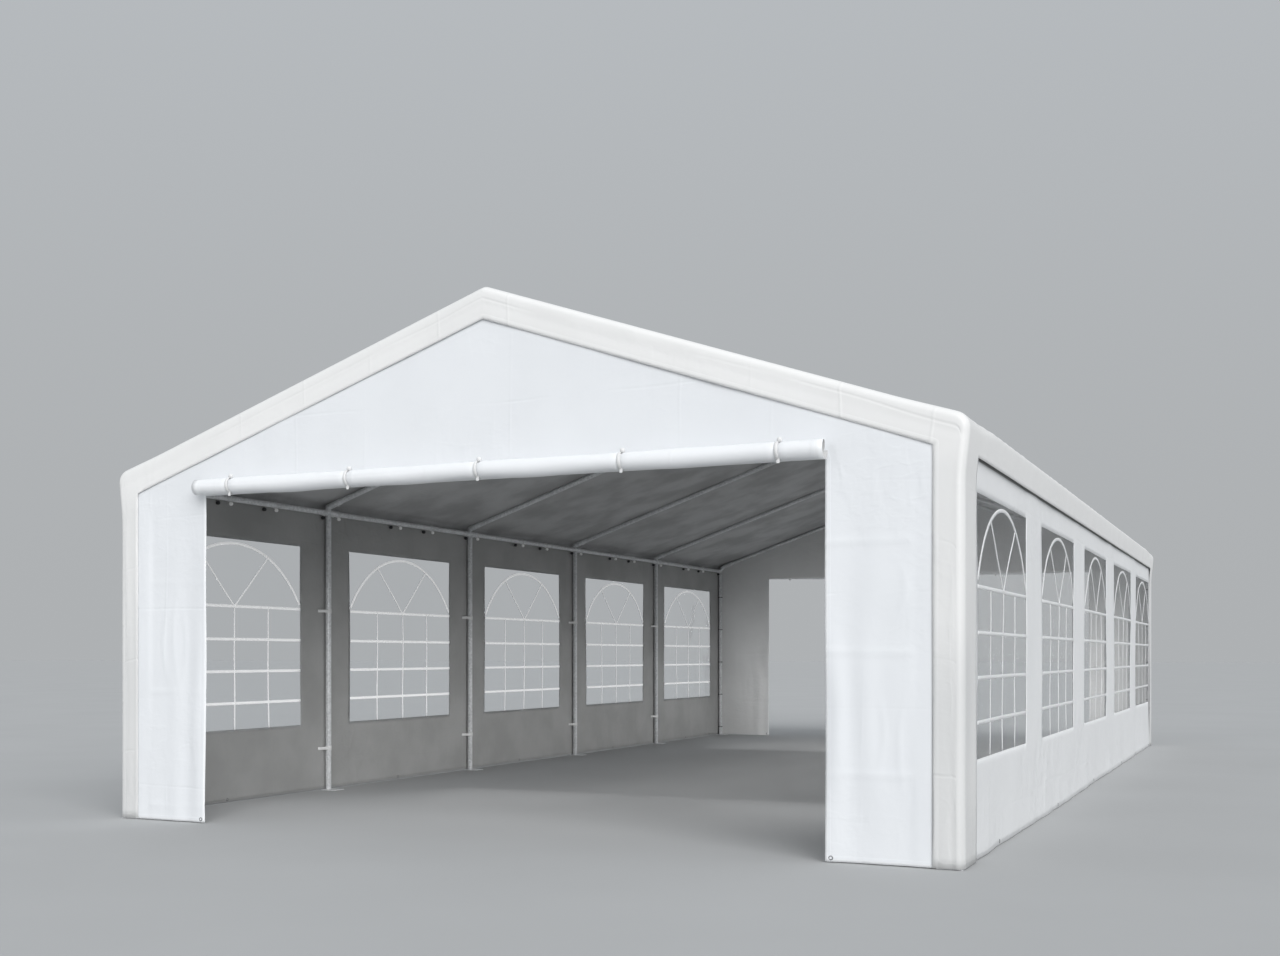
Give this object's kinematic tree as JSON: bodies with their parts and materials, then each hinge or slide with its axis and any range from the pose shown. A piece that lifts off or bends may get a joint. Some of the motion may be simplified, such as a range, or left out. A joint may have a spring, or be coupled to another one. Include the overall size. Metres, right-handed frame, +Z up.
{
  "type": "party marquee tent",
  "caption": "Free-standing pitched-roof marquee with a steel tube frame, white sheet cover, arched side windows and rolled-up gable doors.",
  "frame": {"origin": "centre of the plan, on the ground under the foot plates", "axes": "+Z up, +Y along the length with the front gable at -Y, +X to the right seen from the front"},
  "size_m": [5.0612, 10.2852, 2.9441],
  "materials": {
    "galvanised_steel": "galvanised tube, matt spangle",
    "roof_sheet": "white coated sheet, soft gloss",
    "wall_sheet": "cool white coated sheet, soft gloss",
    "window_film": "clear soft film with white welded bars",
    "tie_cord": "white braided cord",
    "black_fittings": "black moulded balls and elastic"
  },
  "bodies": {
    "root": {"post_left_1": "galvanised_steel", "post_left_2": "galvanised_steel", "post_left_3": "galvanised_steel", "post_left_4": "galvanised_steel", "post_left_5": "galvanised_steel", "post_left_6": "galvanised_steel", "post_right_1": "galvanised_steel", "post_right_2": "galvanised_steel", "post_right_3": "galvanised_steel", "post_right_4": "galvanised_steel", "post_right_5": "galvanised_steel", "post_right_6": "galvanised_steel", "rafter_pair_1": "galvanised_steel", "rafter_pair_2": "galvanised_steel", "rafter_pair_3": "galvanised_steel", "rafter_pair_4": "galvanised_steel", "rafter_pair_5": "galvanised_steel", "rafter_pair_6": "galvanised_steel", "eave_rail_left": "galvanised_steel", "eave_rail_right": "galvanised_steel", "ridge_rail": "galvanised_steel", "roof_cover": "roof_sheet", "corner_skirt_front_left": "roof_sheet", "corner_skirt_front_right": "roof_sheet", "corner_skirt_rear_left": "roof_sheet", "corner_skirt_rear_right": "roof_sheet", "gable_front_head": "wall_sheet", "gable_front_left": "wall_sheet", "gable_front_right": "wall_sheet", "gable_rear_head": "wall_sheet", "gable_rear_left": "wall_sheet", "gable_rear_right": "wall_sheet", "door_roll_front": "wall_sheet", "door_roll_rear": "wall_sheet", "side_wall_left": "wall_sheet", "side_wall_right": "wall_sheet", "window_left_1": "window_film", "window_left_2": "window_film", "window_left_3": "window_film", "window_left_4": "window_film", "window_left_5": "window_film", "window_right_1": "window_film", "window_right_2": "window_film", "window_right_3": "window_film", "window_right_4": "window_film", "window_right_5": "window_film"}
  },
  "joints": []
}
